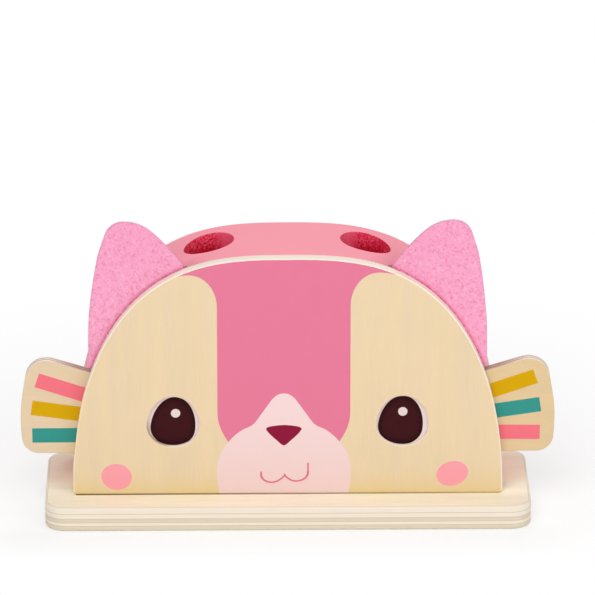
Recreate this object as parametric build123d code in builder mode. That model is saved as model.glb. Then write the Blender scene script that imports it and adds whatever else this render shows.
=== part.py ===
"""Push-and-pop kitten toy: two side paddles lift two pegs out of the top of a wooden arch.

Millimetres, +Z up. The origin is the middle of the base's underside, the face looks along -Y
and +X is to the right of someone who looks at the face.
"""

from build123d import *
from math import acos, atan2, cos, dist, radians, sin, tan
import os

os.makedirs("parts", exist_ok=True)

# ---- driving dimensions ----------------------------------------------------------------------

BASE_THICKNESS = 12.5
BASE_END_MARGIN = 13.8  # past the arch's widest point, at each end
BASE_FRONT_MARGIN = 17.0  # in front of the face
BASE_BACK_MARGIN = 4.0
BASE_CORNER_RADIUS = 10.0
BASE_EDGE_RADIUS = 1.5

ARCH_HALF_WIDTH = 106.2
ARCH_HEIGHT = 124.7
ARCH_SIDE_POWER = 2.88  # how square the shoulders are, seen across
ARCH_TOP_POWER = 2.18  # and seen upwards
ARCH_SIDE_STEPS = 6  # points on each side of its outline
ARCH_SHOULDER_POINTS = (0.49, 0.25)  # and on each shoulder, as parts of the half width

FACE_THICKNESS = 6.0
FACE_EDGE = 0.8
FACE_CORNER_RADIUS = 1.5  # where the face meets the base
BODY_EDGE = 1.2  # round the back
CHANNEL_FRONT_WALL = 2.6  # paddles' layer to the pegs' channels
CHANNEL_BACK_WALL = 6.0

EYE_SPACING = 113.0  # centre to centre
EYE_HEIGHT = 36.5  # widest line of the opening, above the base's top
EYE_HALF_WIDTH = 12.7
EYE_UPPER_HEIGHT = 15.4
EYE_LOWER_HEIGHT = 10.8
EYE_LIP = 0.8
EYE_RECESS = 1.8

PADDLE_THICKNESS = 6.0
PADDLE_TRAVEL = 30.0  # degrees, half of them each side of level
PADDLE_EDGE = 0.6
PIVOT_INSET = 16.2  # pivot to the arch's widest point
PIVOT_HEIGHT = 35.5  # above the base's top
ARM_HALF_WIDTH = 8.0
ARM_NOSE_FLAT = 0.2  # between the two round corners of its inner end
ARM_LOWER_ROOT = 10.0  # where its lower edge leaves the outer end, from the pivot
ARM_UPPER_ROOT = 18.0
ARM_ROOT_RADIUS = 7.0
PIVOT_DIAMETER = 6.0
PIVOT_RUNNING_FIT = 0.08  # radial
PIVOT_IN_FACE = 3.0
PIVOT_IN_BODY = 10.0
WASHER_DIAMETER = 12.0
WASHER_THICKNESS = 0.5
WASHER_GAP = 0.2

PEG_SPACING = 77.0
HOLE_DIAMETER = 24.6
PEG_CLEARANCE = 0.3  # radial
PEG_SUNK = 11.0  # rim's height over the top of a resting peg
PEG_DOME = 8.0
PEG_SPIGOT_DIAMETER = 10.0
FOOT_OVERLAP = 1.7  # how far a foot reaches past the hole, all round
FOOT_THICKNESS = 6.0
FOOT_CLEARANCE = 0.5  # radial, in the wide lower part of the channel
FOOT_EDGE = 1.0
SHOULDER_GAP = 1.2  # above a lifted foot
LIFT_PIN_DIAMETER = 8.0
LIFT_PIN_EDGE = 1.0
LIFT_PIN_SLOT_GAP = 1.5  # all round a lift pin, in the middle board's slot
LIFT_PIN_PAST_AXIS = 2.5
LIFT_GAP = 0.3  # under a foot

EAR_THICKNESS = 3.0
EAR_OVER_POCKET = 0.9  # ear's lower end above a paddle's cut-out
EAR_SPAN = 51.1  # root's lower end to its upper end, measured across
EAR_ROOT_DEPTH = 7.5  # upper end of the root, down inside the arch
EAR_ROOT_WIDTH = 6.6  # along the bottom
EAR_PROUD = 1.5  # how far the root's lower end stands out past the arch
EAR_ROOT_RADIUS = 1.5
EAR_FIT = 0.3

DOWEL_DIAMETER = 8.0
DOWEL_IN_BACK_BOARD = 10.0
DOWEL_LOW = 34.0  # above the base's top
DOWEL_HIGH = 31.0  # below the top of the arch
DOWEL_PAST_PEG = 25.5  # outer dowels, outwards from the pegs
DOWEL_UNDER_EAR = 16.8  # outer dowels, below the ears' roots
SCREW_PAST_PEG = 31.5  # outer screws, outwards from the pegs
SCREW_ROWS = (-9.0, 10.0)  # in front of and behind the pegs' centre line
SCREW_LENGTH = 35.0
SCREW_DIAMETER = 4.0
SCREW_HEAD_DIAMETER = 8.0
SCREW_HEAD_ANGLE = 90.0
SCREW_HEAD_SUNK = 0.3  # below the base's underside

STOP_GAP = 0.5  # between a paddle at either end of its travel and the board that stops it
NOSE_GAP = 1.5  # past the inner end of an arm that swings through level
POCKET_CORNER = 3.0
POCKET_ROOF = 28.4  # above the pivots
POCKET_UPPER_STOP = 20.0  # where the arm's upper stop begins, from the pivot
POCKET_LOWER_STOP = 14.0
POCKET_FLOOR_INSET = 11.5  # inner end of the floor, inwards from the pivot
CUT_PAST = 1.0  # how far a cut runs on past the edge it opens

SIDE_SHARE = 0.99  # of an outline's straight side, which its two roundings may take up

# Corners of a paddle's outer end: outwards from the pivot, upwards from it, and their radius.
PADDLE_CORNERS = (
    (-4.0, 23.4, 3.0),
    (37.0, 36.5, 10.5),
    (42.3, 6.0, 80.0),
    (40.8, -16.0, 8.5),
    (-1.5, -16.0, 4.0),
)

# Corners of an ear: inwards from the root's lower end, upwards from it, and their radius.
EAR_CORNERS = (
    (42.2, 61.7, 95.0),
    (25.7, 76.5, 20.0),
    (10.7, 76.9, 9.5),
    (5.2, 60.2, 20.0),
    (2.5, 46.3, 280.0),
    (0.2, 24.0, 150.0),
)

# ---- places that follow from them ------------------------------------------------------------

FOOT_RADIUS = HOLE_DIAMETER / 2 + FOOT_OVERLAP
CHANNEL_RADIUS = FOOT_RADIUS + FOOT_CLEARANCE
PADDLE_LAYER = PADDLE_THICKNESS + 2 * (WASHER_THICKNESS + WASHER_GAP)
BODY_DEPTH = PADDLE_LAYER + CHANNEL_FRONT_WALL + 2 * CHANNEL_RADIUS + CHANNEL_BACK_WALL

BASE_TOP = BASE_THICKNESS
BASE_LENGTH = 2 * (ARCH_HALF_WIDTH + BASE_END_MARGIN)
BASE_DEPTH = BASE_FRONT_MARGIN + FACE_THICKNESS + BODY_DEPTH + BASE_BACK_MARGIN
FACE_FRONT = BASE_FRONT_MARGIN - BASE_DEPTH / 2
BODY_FRONT = FACE_FRONT + FACE_THICKNESS
FRONT_BOARD_BACK = BODY_FRONT + PADDLE_LAYER
BODY_BACK = BODY_FRONT + BODY_DEPTH
PEG_X = PEG_SPACING / 2
PEG_Y = FRONT_BOARD_BACK + CHANNEL_FRONT_WALL + CHANNEL_RADIUS
PADDLE_FRONT = BODY_FRONT + WASHER_THICKNESS + WASHER_GAP
PADDLE_BACK = PADDLE_FRONT + PADDLE_THICKNESS
MIDDLE_BOARD_DEPTH = PEG_Y - FRONT_BOARD_BACK

PIVOT_X = ARCH_HALF_WIDTH - PIVOT_INSET
PIVOT_Z = BASE_TOP + PIVOT_HEIGHT
SWING = PADDLE_TRAVEL / 2
ARM_LENGTH = PIVOT_X - PEG_X
PEG_LIFT = 2 * ARM_LENGTH * sin(radians(SWING))

FOOT_BOTTOM = PIVOT_Z - PEG_LIFT / 2 + LIFT_PIN_DIAMETER / 2 + LIFT_GAP
SHOULDER_Z = FOOT_BOTTOM + FOOT_THICKNESS + PEG_LIFT + SHOULDER_GAP

SIDES = (("left", -1), ("right", 1))


def arch_rise(x):
    """Height of the arch above the base's top, at x from its middle."""
    return ARCH_HEIGHT * (1 - (abs(x) / ARCH_HALF_WIDTH) ** ARCH_SIDE_POWER) ** (1 / ARCH_TOP_POWER)


def arch_reach(rise):
    """Half width of the arch at a height above the base's top."""
    return ARCH_HALF_WIDTH * (1 - (rise / ARCH_HEIGHT) ** ARCH_TOP_POWER) ** (1 / ARCH_SIDE_POWER)


def facing(y):
    """The upright plane at depth y. Its X is the model's X, its Y is up, and it faces the front."""
    return Plane.XZ.offset(-y)


PEG_TOP = BASE_TOP + arch_rise(PEG_X) - PEG_SUNK

# ---- outlines --------------------------------------------------------------------------------

# The arch: a round-shouldered curve from one foot to the other.
with BuildSketch() as arch:
    with BuildLine():
        rises = [ARCH_HEIGHT * step / ARCH_SIDE_STEPS for step in range(ARCH_SIDE_STEPS)]
        right_side = [(arch_reach(rise), rise) for rise in rises]
        shoulder_xs = [ARCH_HALF_WIDTH * part for part in ARCH_SHOULDER_POINTS]
        right_shoulder = [(x, arch_rise(x)) for x in shoulder_xs]
        half = [(x, BASE_TOP + rise) for x, rise in right_side + right_shoulder]
        top = (0, BASE_TOP + ARCH_HEIGHT)
        mirrored = [(-x, z) for x, z in reversed(half)]
        Spline(*half, top, *mirrored, tangents=((0, 1), (0, -1)))
        Line(mirrored[-1], half[0])
    make_face()


def egg(side):
    """The egg of an eye, as one closed outline. The eye is glued into an opening of the same egg."""
    centre = (side * EYE_SPACING / 2, BASE_TOP + EYE_HEIGHT)
    EllipticalCenterArc(centre, EYE_HALF_WIDTH, EYE_UPPER_HEIGHT, start_angle=0, arc_size=180)
    EllipticalCenterArc(centre, EYE_HALF_WIDTH, EYE_LOWER_HEIGHT, start_angle=180, arc_size=180)


def from_pivot(side, tilt, along, across):
    """A point on a paddle's arm, whose inner end is tilted up by an angle in degrees."""
    x = PIVOT_X - along * cos(radians(tilt)) + across * sin(radians(tilt))
    z = PIVOT_Z + along * sin(radians(tilt)) + across * cos(radians(tilt))
    return (side * x, z)


def paddle_outline(side):
    """A paddle at rest: a fan-shaped outer end, a heel over the pivot and a sloping inner arm."""
    outer = [
        ((side * (PIVOT_X + outwards), PIVOT_Z + upwards), radius)
        for outwards, upwards, radius in PADDLE_CORNERS
    ]
    nose = ARM_LENGTH + ARM_HALF_WIDTH
    nose_radius = ARM_HALF_WIDTH - ARM_NOSE_FLAT / 2
    arm = [
        (from_pivot(side, -SWING, ARM_LOWER_ROOT, -ARM_HALF_WIDTH), ARM_ROOT_RADIUS),
        (from_pivot(side, -SWING, nose, -ARM_HALF_WIDTH), nose_radius),
        (from_pivot(side, -SWING, nose, ARM_HALF_WIDTH), nose_radius),
        (from_pivot(side, -SWING, ARM_UPPER_ROOT, ARM_HALF_WIDTH), ARM_ROOT_RADIUS),
    ]
    return outer + arm


def pocket_outline(side):
    """The cut-out that a paddle swings in. Its upper and lower edges are the paddle's stops."""
    half_width = ARM_HALF_WIDTH + STOP_GAP
    depth = ARM_LENGTH + ARM_HALF_WIDTH + NOSE_GAP
    past_nose = (depth + half_width * sin(radians(SWING))) / cos(radians(SWING))
    outside = side * (ARCH_HALF_WIDTH + CUT_PAST)
    roof = PIVOT_Z + POCKET_ROOF
    roof_end = side * (PIVOT_X + PADDLE_CORNERS[0][0])
    floor = BASE_TOP - CUT_PAST
    return [
        ((outside, roof), 0),
        ((roof_end, roof), POCKET_CORNER),
        (from_pivot(side, SWING, POCKET_UPPER_STOP, half_width), POCKET_CORNER),
        (from_pivot(side, SWING, past_nose, half_width), POCKET_CORNER),
        (from_pivot(side, -SWING, past_nose, -half_width), POCKET_CORNER),
        (from_pivot(side, -SWING, POCKET_LOWER_STOP, -half_width), POCKET_CORNER),
        ((side * (PIVOT_X - POCKET_FLOOR_INSET), floor), 0),
        ((outside, floor), 0),
    ]


# An ear's root runs inside the arch, from its lower end beside a paddle to its upper end.
EAR_LOW = PIVOT_HEIGHT + POCKET_ROOF + EAR_OVER_POCKET
EAR_REACH = arch_reach(EAR_LOW) + EAR_PROUD
ROOT_LOWER_END = (EAR_REACH - EAR_ROOT_WIDTH, EAR_LOW)
ROOT_UPPER_X = EAR_REACH - EAR_SPAN
ROOT_UPPER_END = (ROOT_UPPER_X, arch_rise(ROOT_UPPER_X) - EAR_ROOT_DEPTH)


def ear_root_rise(x):
    """Height of an ear's root above the base's top, at x from the arch's middle."""
    across, up = ROOT_LOWER_END[0] - ROOT_UPPER_X, ROOT_UPPER_END[1] - EAR_LOW
    return EAR_LOW + up * (ROOT_LOWER_END[0] - x) / across


def ear_outline(side):
    """An ear: two bowed sides that meet in a round tip, and a straight root inside the arch."""
    shown = [
        ((EAR_REACH - inwards, EAR_LOW + upwards), radius)
        for inwards, upwards, radius in EAR_CORNERS
    ]
    corners = [
        (ROOT_UPPER_END, EAR_ROOT_RADIUS),
        *shown,
        ((EAR_REACH, EAR_LOW), EAR_ROOT_RADIUS),
        (ROOT_LOWER_END, EAR_ROOT_RADIUS),
    ]
    return [((side * x, BASE_TOP + rise), radius) for (x, rise), radius in corners]


def corner_span(before, corner, after, radius):
    """How far from a corner its rounding starts, along both of its sides."""
    towards_before = atan2(before[1] - corner[1], before[0] - corner[0])
    towards_after = atan2(after[1] - corner[1], after[0] - corner[0])
    return radius / tan(acos(cos(towards_after - towards_before)) / 2)


def closed_outline(corners):
    """Straight runs through the corners, each rounded by its own radius where its sides have room."""
    points = [point for point, radius in corners]
    radii = [radius for point, radius in corners]
    befores = points[-1:] + points[:-1]
    afters = points[1:] + points[:1]
    spans = [corner_span(*places) for places in zip(befores, points, afters, radii)]
    taken = [max(span + next_span, 0.001) for span, next_span in zip(spans, spans[1:] + spans[:1])]
    rooms = [SIDE_SHARE * dist(point, after) / both for point, after, both in zip(points, afters, taken)]
    limited = [
        radius * min(1, room, room_before)
        for radius, room, room_before in zip(radii, rooms, rooms[-1:] + rooms[:-1])
    ]
    FilletPolyline(*points, radius=limited, close=True)


# ---- base ------------------------------------------------------------------------------------

screw_x = PEG_X + SCREW_PAST_PEG
screw_places = [(x, PEG_Y + row) for x in (-screw_x, 0.0, screw_x) for row in SCREW_ROWS]

with BuildPart() as base_board:
    Box(BASE_LENGTH, BASE_DEPTH, BASE_THICKNESS, align=(Align.CENTER, Align.CENTER, Align.MIN))
    fillet(base_board.edges().filter_by(Axis.Z), BASE_CORNER_RADIUS)
    outer_edges = base_board.faces().sort_by(Axis.Z)[0].edges()
    outer_edges += base_board.faces().sort_by(Axis.Z)[-1].edges()
    fillet(outer_edges, BASE_EDGE_RADIUS)
    with Locations(Plane.XY.rotated((180, 0, 0))):
        with Locations([(x, -y) for x, y in screw_places]):
            CounterSinkHole(SCREW_DIAMETER / 2, SCREW_HEAD_DIAMETER / 2, BASE_THICKNESS, SCREW_HEAD_ANGLE)
base_board.part.label = "base_board"
export_step(base_board.part, "parts/base_board.step")

# ---- face ------------------------------------------------------------------------------------

with BuildPart() as front_panel:
    with BuildSketch(facing(BODY_FRONT)):
        add(arch)
    extrude(amount=FACE_THICKNESS)
    fillet(front_panel.edges().filter_by(Axis.Y), FACE_CORNER_RADIUS)
    fillet(front_panel.faces().filter_by(Axis.Y).edges(), FACE_EDGE)
    for side_name, side in SIDES:
        with BuildSketch(facing(BODY_FRONT)):
            with BuildLine():
                egg(side)
            make_face()
        extrude(amount=FACE_THICKNESS, mode=Mode.SUBTRACT)
    lips = front_panel.faces().sort_by(Axis.Y)[0].inner_wires().edges()
    fillet(lips, EYE_LIP)
    with Locations(facing(BODY_FRONT)):
        with Locations([(side * PIVOT_X, PIVOT_Z, PIVOT_IN_FACE / 2) for name, side in SIDES]):
            Cylinder(PIVOT_DIAMETER / 2, PIVOT_IN_FACE, mode=Mode.SUBTRACT)
front_panel.part.label = "front_panel"
export_step(front_panel.part, "parts/front_panel.step")

for side_name, side in SIDES:
    with BuildPart() as eye:
        with BuildSketch(facing(BODY_FRONT)):
            with BuildLine():
                egg(side)
            make_face()
        extrude(amount=FACE_THICKNESS - EYE_RECESS)
    eye.part.label = f"{side_name}_eye"
    export_step(eye.part, f"parts/{side_name}_eye.step")

# ---- body: three boards, glued up on dowels and painted ---------------------------------------

dowel_x = PEG_X + DOWEL_PAST_PEG
outer_dowel_z = BASE_TOP + ear_root_rise(dowel_x) - DOWEL_UNDER_EAR
dowel_places = [
    (0.0, BASE_TOP + DOWEL_LOW),
    (0.0, BASE_TOP + ARCH_HEIGHT - DOWEL_HIGH),
    (-dowel_x, outer_dowel_z),
    (dowel_x, outer_dowel_z),
]
dowel_length = PEG_Y - BODY_FRONT + DOWEL_IN_BACK_BOARD

with BuildPart() as body_front_board:
    with BuildSketch(facing(FRONT_BOARD_BACK)):
        add(arch)
    extrude(amount=PADDLE_LAYER)
    for side_name, side in SIDES:
        with BuildSketch(facing(FRONT_BOARD_BACK)):
            with BuildLine():
                closed_outline(pocket_outline(side))
            make_face()
        extrude(amount=PADDLE_LAYER, mode=Mode.SUBTRACT)
        with BuildSketch(facing(BODY_FRONT)):
            with BuildLine():
                closed_outline(ear_outline(side))
            make_face()
            offset(amount=EAR_FIT)
        extrude(amount=-(EAR_THICKNESS + EAR_FIT), mode=Mode.SUBTRACT)
    with Locations(facing(BODY_FRONT)):
        with Locations([(x, z, -PADDLE_LAYER / 2) for x, z in dowel_places]):
            Cylinder(DOWEL_DIAMETER / 2, PADDLE_LAYER, mode=Mode.SUBTRACT)
body_front_board.part.label = "body_front_board"
export_step(body_front_board.part, "parts/body_front_board.step")


def cut_peg_channels():
    """Both pegs' channels: a bore down to the shoulder, and room for the foot below it."""
    steps = (
        (BASE_TOP, SHOULDER_Z - BASE_TOP, CHANNEL_RADIUS),
        (SHOULDER_Z, ARCH_HEIGHT, HOLE_DIAMETER / 2),
    )
    for bottom, height, radius in steps:
        with Locations([(side * PEG_X, PEG_Y, bottom + height / 2) for name, side in SIDES]):
            Cylinder(radius, height, mode=Mode.SUBTRACT)


def drill_screw_pilots():
    """Pilot holes for the base's screws, up into the boards."""
    with Locations(Plane.XY.offset(BASE_TOP)):
        with Locations([(x, y, (SCREW_LENGTH - BASE_TOP) / 2) for x, y in screw_places]):
            Cylinder(SCREW_DIAMETER / 2, SCREW_LENGTH - BASE_TOP, mode=Mode.SUBTRACT)


with BuildPart() as body_middle_board:
    with BuildSketch(facing(PEG_Y)):
        add(arch)
    extrude(amount=MIDDLE_BOARD_DEPTH)
    cut_peg_channels()
    drill_screw_pilots()
    slot_width = LIFT_PIN_DIAMETER + 2 * LIFT_PIN_SLOT_GAP
    slot_x = PEG_X + ARM_LENGTH * (1 - cos(radians(SWING))) / 2
    with BuildSketch(facing(PEG_Y)):
        with Locations([(side * slot_x, PIVOT_Z) for name, side in SIDES]):
            SlotCenterToCenter(PEG_LIFT, slot_width, rotation=90)
    extrude(amount=MIDDLE_BOARD_DEPTH, mode=Mode.SUBTRACT)
    with Locations(facing(FRONT_BOARD_BACK)):
        with Locations([(side * PIVOT_X, PIVOT_Z, -PIVOT_IN_BODY / 2) for name, side in SIDES]):
            Cylinder(PIVOT_DIAMETER / 2, PIVOT_IN_BODY, mode=Mode.SUBTRACT)
        with Locations([(x, z, -MIDDLE_BOARD_DEPTH / 2) for x, z in dowel_places]):
            Cylinder(DOWEL_DIAMETER / 2, MIDDLE_BOARD_DEPTH, mode=Mode.SUBTRACT)
body_middle_board.part.label = "body_middle_board"
export_step(body_middle_board.part, "parts/body_middle_board.step")

with BuildPart() as body_back_board:
    with BuildSketch(facing(BODY_BACK)):
        add(arch)
    extrude(amount=BODY_BACK - PEG_Y)
    back_edges = body_back_board.faces().sort_by(Axis.Y)[-1].edges()
    fillet(back_edges.sort_by(Axis.Z)[-1], BODY_EDGE)
    cut_peg_channels()
    drill_screw_pilots()
    with Locations(facing(PEG_Y)):
        with Locations([(x, z, -DOWEL_IN_BACK_BOARD / 2) for x, z in dowel_places]):
            Cylinder(DOWEL_DIAMETER / 2, DOWEL_IN_BACK_BOARD, mode=Mode.SUBTRACT)
body_back_board.part.label = "body_back_board"
export_step(body_back_board.part, "parts/body_back_board.step")

with BuildPart() as body_dowels:
    with Locations(facing(BODY_FRONT)):
        with Locations([(x, z, -dowel_length / 2) for x, z in dowel_places]):
            Cylinder(DOWEL_DIAMETER / 2, dowel_length)
body_dowels.part.label = "body_dowels"
export_step(body_dowels.part, "parts/body_dowels.step")

head_radius = SCREW_HEAD_DIAMETER / 2 - SCREW_HEAD_SUNK
head_height = (head_radius - SCREW_DIAMETER / 2) / tan(radians(SCREW_HEAD_ANGLE / 2))
on_end = (Align.CENTER, Align.CENTER, Align.MIN)

with BuildPart() as base_screws:
    with Locations([(x, y, SCREW_HEAD_SUNK) for x, y in screw_places]):
        Cone(head_radius, SCREW_DIAMETER / 2, head_height, align=on_end)
        Cylinder(SCREW_DIAMETER / 2, SCREW_LENGTH - SCREW_HEAD_SUNK, align=on_end)
base_screws.part.label = "base_screws"
export_step(base_screws.part, "parts/base_screws.step")

# ---- ears ------------------------------------------------------------------------------------

for side_name, side in SIDES:
    with BuildPart() as ear:
        with BuildSketch(facing(BODY_FRONT + EAR_THICKNESS)):
            with BuildLine():
                closed_outline(ear_outline(side))
            make_face()
        extrude(amount=EAR_THICKNESS)
    ear.part.label = f"{side_name}_ear"
    export_step(ear.part, f"parts/{side_name}_ear.step")

# ---- paddles ---------------------------------------------------------------------------------

for side_name, side in SIDES:
    nose = from_pivot(side, -SWING, ARM_LENGTH, 0)
    with BuildPart() as paddle:
        with BuildSketch(facing(PADDLE_BACK)):
            with BuildLine():
                closed_outline(paddle_outline(side))
            make_face()
            with Locations((side * PIVOT_X, PIVOT_Z)):
                Circle(PIVOT_DIAMETER / 2 + PIVOT_RUNNING_FIT, mode=Mode.SUBTRACT)
            with Locations(nose):
                Circle(LIFT_PIN_DIAMETER / 2, mode=Mode.SUBTRACT)
        extrude(amount=PADDLE_THICKNESS)
        outlines = [face.outer_wire() for face in paddle.faces().filter_by(Axis.Y)]
        fillet([edge for wire in outlines for edge in wire.edges()], PADDLE_EDGE)
    paddle.part.label = f"{side_name}_paddle"
    export_step(paddle.part, f"parts/{side_name}_paddle.step")

    pin_back = PEG_Y + LIFT_PIN_PAST_AXIS
    with BuildPart() as lift_pin:
        with BuildSketch(facing(pin_back)):
            with Locations(nose):
                Circle(LIFT_PIN_DIAMETER / 2)
        extrude(amount=pin_back - PADDLE_FRONT)
        fillet(lift_pin.edges().sort_by(Axis.Y)[-1], LIFT_PIN_EDGE)
    lift_pin.part.label = f"{side_name}_lift_pin"
    export_step(lift_pin.part, f"parts/{side_name}_lift_pin.step")

    pivot_back = FRONT_BOARD_BACK + PIVOT_IN_BODY
    with BuildPart() as pivot_pin:
        with BuildSketch(facing(pivot_back)):
            with Locations((side * PIVOT_X, PIVOT_Z)):
                Circle(PIVOT_DIAMETER / 2)
        extrude(amount=pivot_back - BODY_FRONT + PIVOT_IN_FACE)
    pivot_pin.part.label = f"{side_name}_pivot_pin"
    export_step(pivot_pin.part, f"parts/{side_name}_pivot_pin.step")

    with BuildPart() as pivot_washers:
        for washer_back in (BODY_FRONT + WASHER_THICKNESS, FRONT_BOARD_BACK):
            with BuildSketch(facing(washer_back)):
                with Locations((side * PIVOT_X, PIVOT_Z)):
                    Circle(WASHER_DIAMETER / 2)
                    Circle(PIVOT_DIAMETER / 2, mode=Mode.SUBTRACT)
            extrude(amount=WASHER_THICKNESS)
    pivot_washers.part.label = f"{side_name}_pivot_washers"
    export_step(pivot_washers.part, f"parts/{side_name}_pivot_washers.step")

# ---- pegs ------------------------------------------------------------------------------------

peg_radius = HOLE_DIAMETER / 2 - PEG_CLEARANCE
shaft_bottom = FOOT_BOTTOM + FOOT_THICKNESS

for side_name, side in SIDES:
    with BuildPart() as peg:
        with BuildSketch(Plane.XY.offset(FOOT_BOTTOM)):
            with Locations((side * PEG_X, PEG_Y)):
                Circle(PEG_SPIGOT_DIAMETER / 2)
        extrude(amount=FOOT_THICKNESS)
        with BuildSketch(Plane.XY.offset(shaft_bottom)):
            with Locations((side * PEG_X, PEG_Y)):
                Circle(peg_radius)
        extrude(amount=PEG_TOP - shaft_bottom)
        fillet(peg.faces().sort_by(Axis.Z)[-1].edges(), PEG_DOME)
    peg.part.label = f"{side_name}_peg"
    export_step(peg.part, f"parts/{side_name}_peg.step")

    with BuildPart() as peg_foot:
        with BuildSketch(Plane.XY.offset(FOOT_BOTTOM)):
            with Locations((side * PEG_X, PEG_Y)):
                Circle(FOOT_RADIUS)
                Circle(PEG_SPIGOT_DIAMETER / 2, mode=Mode.SUBTRACT)
        extrude(amount=FOOT_THICKNESS)
        rims = peg_foot.faces().filter_by(Axis.Z)
        chamfer([face.outer_wire().edges()[0] for face in rims], FOOT_EDGE)
    peg_foot.part.label = f"{side_name}_peg_foot"
    export_step(peg_foot.part, f"parts/{side_name}_peg_foot.step")

print(f"pivots at x +-{PIVOT_X:.2f}, z {PIVOT_Z:.2f}; pegs at x +-{PEG_X:.2f}, y {PEG_Y:.2f}")
print(f"a peg rises {PEG_LIFT:.3f} mm over {PADDLE_TRAVEL:.0f} degrees")
print(f"that is {PEG_LIFT / 1000 / radians(PADDLE_TRAVEL):.6f} m per radian of paddle")
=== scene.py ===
# %% [markdown]
# # A push-and-pop kitten toy in wood and felt
#
# The toy is a wooden arch on a base board. A face is printed on its front panel, two striped
# paddles stick out at its sides, two felt ears stand up behind the panel, and two pegs wait in
# the holes on top. Every wooden piece comes from the CAD model as a finished shape, so this
# lesson gives them their wood, paint and metal, and makes the ears, which are cloth.

import math

import bpy
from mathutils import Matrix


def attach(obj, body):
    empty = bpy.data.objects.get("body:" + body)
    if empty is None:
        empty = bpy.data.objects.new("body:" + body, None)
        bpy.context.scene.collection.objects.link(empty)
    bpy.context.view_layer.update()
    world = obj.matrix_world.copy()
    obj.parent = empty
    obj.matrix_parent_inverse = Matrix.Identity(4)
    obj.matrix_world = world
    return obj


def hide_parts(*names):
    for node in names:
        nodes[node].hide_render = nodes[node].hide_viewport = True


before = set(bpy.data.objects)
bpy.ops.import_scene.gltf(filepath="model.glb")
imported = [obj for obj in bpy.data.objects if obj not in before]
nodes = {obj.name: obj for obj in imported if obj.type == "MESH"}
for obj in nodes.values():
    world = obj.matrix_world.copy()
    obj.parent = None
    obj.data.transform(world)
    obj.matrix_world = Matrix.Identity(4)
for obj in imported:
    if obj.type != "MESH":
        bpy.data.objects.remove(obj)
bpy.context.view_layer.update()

# %% [markdown]
# Blender works in metres. The toy is small, so sizes are easier to read in millimetres, and
# this step gives the two conversions that the rest uses: millimetres to metres, and a colour
# as a paint chart writes it, from 0 to 255, to the linear values that Blender's shaders take.

# %% Units and colours
MM = 0.001


def straighten(part):
    """One channel from 0 to 1 with the screen's curve taken out of it."""
    return part / 12.92 if part <= 0.04045 else ((part + 0.055) / 1.055) ** 2.4


def paint(red, green, blue):
    """A colour written from 0 to 255, as the linear colour that a shader takes."""
    return (*(straighten(channel / 255) for channel in (red, green, blue)), 1.0)


print("warm white is", [round(channel, 3) for channel in paint(247, 228, 202)])

# %% [markdown]
# A long lens far away keeps the toy's sides nearly parallel, the way a small product is
# usually shown. The camera stands in front and a little to the left, and looks down at about
# 22 degrees, so that the top of the arch and the two holes can be seen.

# %% Camera
IMAGE_WIDTH = 595
LENS_IN_PIXELS = 5409
CAMERA_PLACE = (-26.56 * MM, -2473.26 * MM, 1087.21 * MM)
CAMERA_DOWN = 21.57
CAMERA_RIGHT = 0.73
SENSOR_WIDTH = 36
NEAREST = 0.1
FARTHEST = 20

bpy.ops.object.camera_add(location=CAMERA_PLACE)
camera = bpy.context.object
camera.name = "camera"
camera.rotation_euler = (math.radians(90 - CAMERA_DOWN), 0, math.radians(-CAMERA_RIGHT))
camera.data.sensor_width = SENSOR_WIDTH
camera.data.lens = SENSOR_WIDTH * LENS_IN_PIXELS / IMAGE_WIDTH
camera.data.clip_start = NEAREST
camera.data.clip_end = FARTHEST
bpy.context.scene.camera = camera
bpy.context.scene.view_settings.view_transform = "Standard"
print("lens:", round(camera.data.lens, 1), "mm")

# %% [markdown]
# A material is a graph of nodes, and a formula with ten terms is ten nodes that are tiresome
# to add one by one. Two small classes make that readable. A `Wire` is the output of a node,
# and Python's own signs work on it, so `1 - wire * 2` adds the two Math nodes by itself. A
# `Shader` owns one material and adds any other node with one method.

# %% Wires
class Wire:
    """The output of a node, which can be used in sums."""

    def __init__(self, shader, socket):
        self.shader = shader
        self.socket = socket

    def maths(self, operation, first, second):
        """Add a Math node that works on two values or wires."""
        settings = {"operation": operation}
        return self.shader.node("ShaderNodeMath", settings, {0: first, 1: second})

    def __add__(self, other):
        return self.maths("ADD", self, other)

    def __radd__(self, other):
        return self.maths("ADD", other, self)

    def __sub__(self, other):
        return self.maths("SUBTRACT", self, other)

    def __rsub__(self, other):
        return self.maths("SUBTRACT", other, self)

    def __mul__(self, other):
        return self.maths("MULTIPLY", self, other)

    def __rmul__(self, other):
        return self.maths("MULTIPLY", other, self)

    def __truediv__(self, other):
        return self.maths("DIVIDE", self, other)

    def __pow__(self, other):
        return self.maths("POWER", self, other)

    def __neg__(self):
        return self.maths("MULTIPLY", self, -1)

    def __abs__(self):
        return self.shader.node("ShaderNodeMath", {"operation": "ABSOLUTE"}, {0: self})

    def least(self, other):
        return self.maths("MINIMUM", self, other)

    def most(self, other):
        return self.maths("MAXIMUM", self, other)

    def clamped(self):
        return self.shader.node("ShaderNodeClamp", {}, {0: self})


print("a wire can be used with + - * / ** and abs")

# %% [markdown]
# The Mix node has sockets with the same names for numbers, vectors and colours, so its colour
# sockets are found by their place in the list. A shader reads its place on the object in
# millimetres, and the patterns that follow are all written in that unit.

# %% Shaders
MIX_FACTOR = 0
MIX_FIRST = 6
MIX_SECOND = 7
MIX_RESULT = 2


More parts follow.
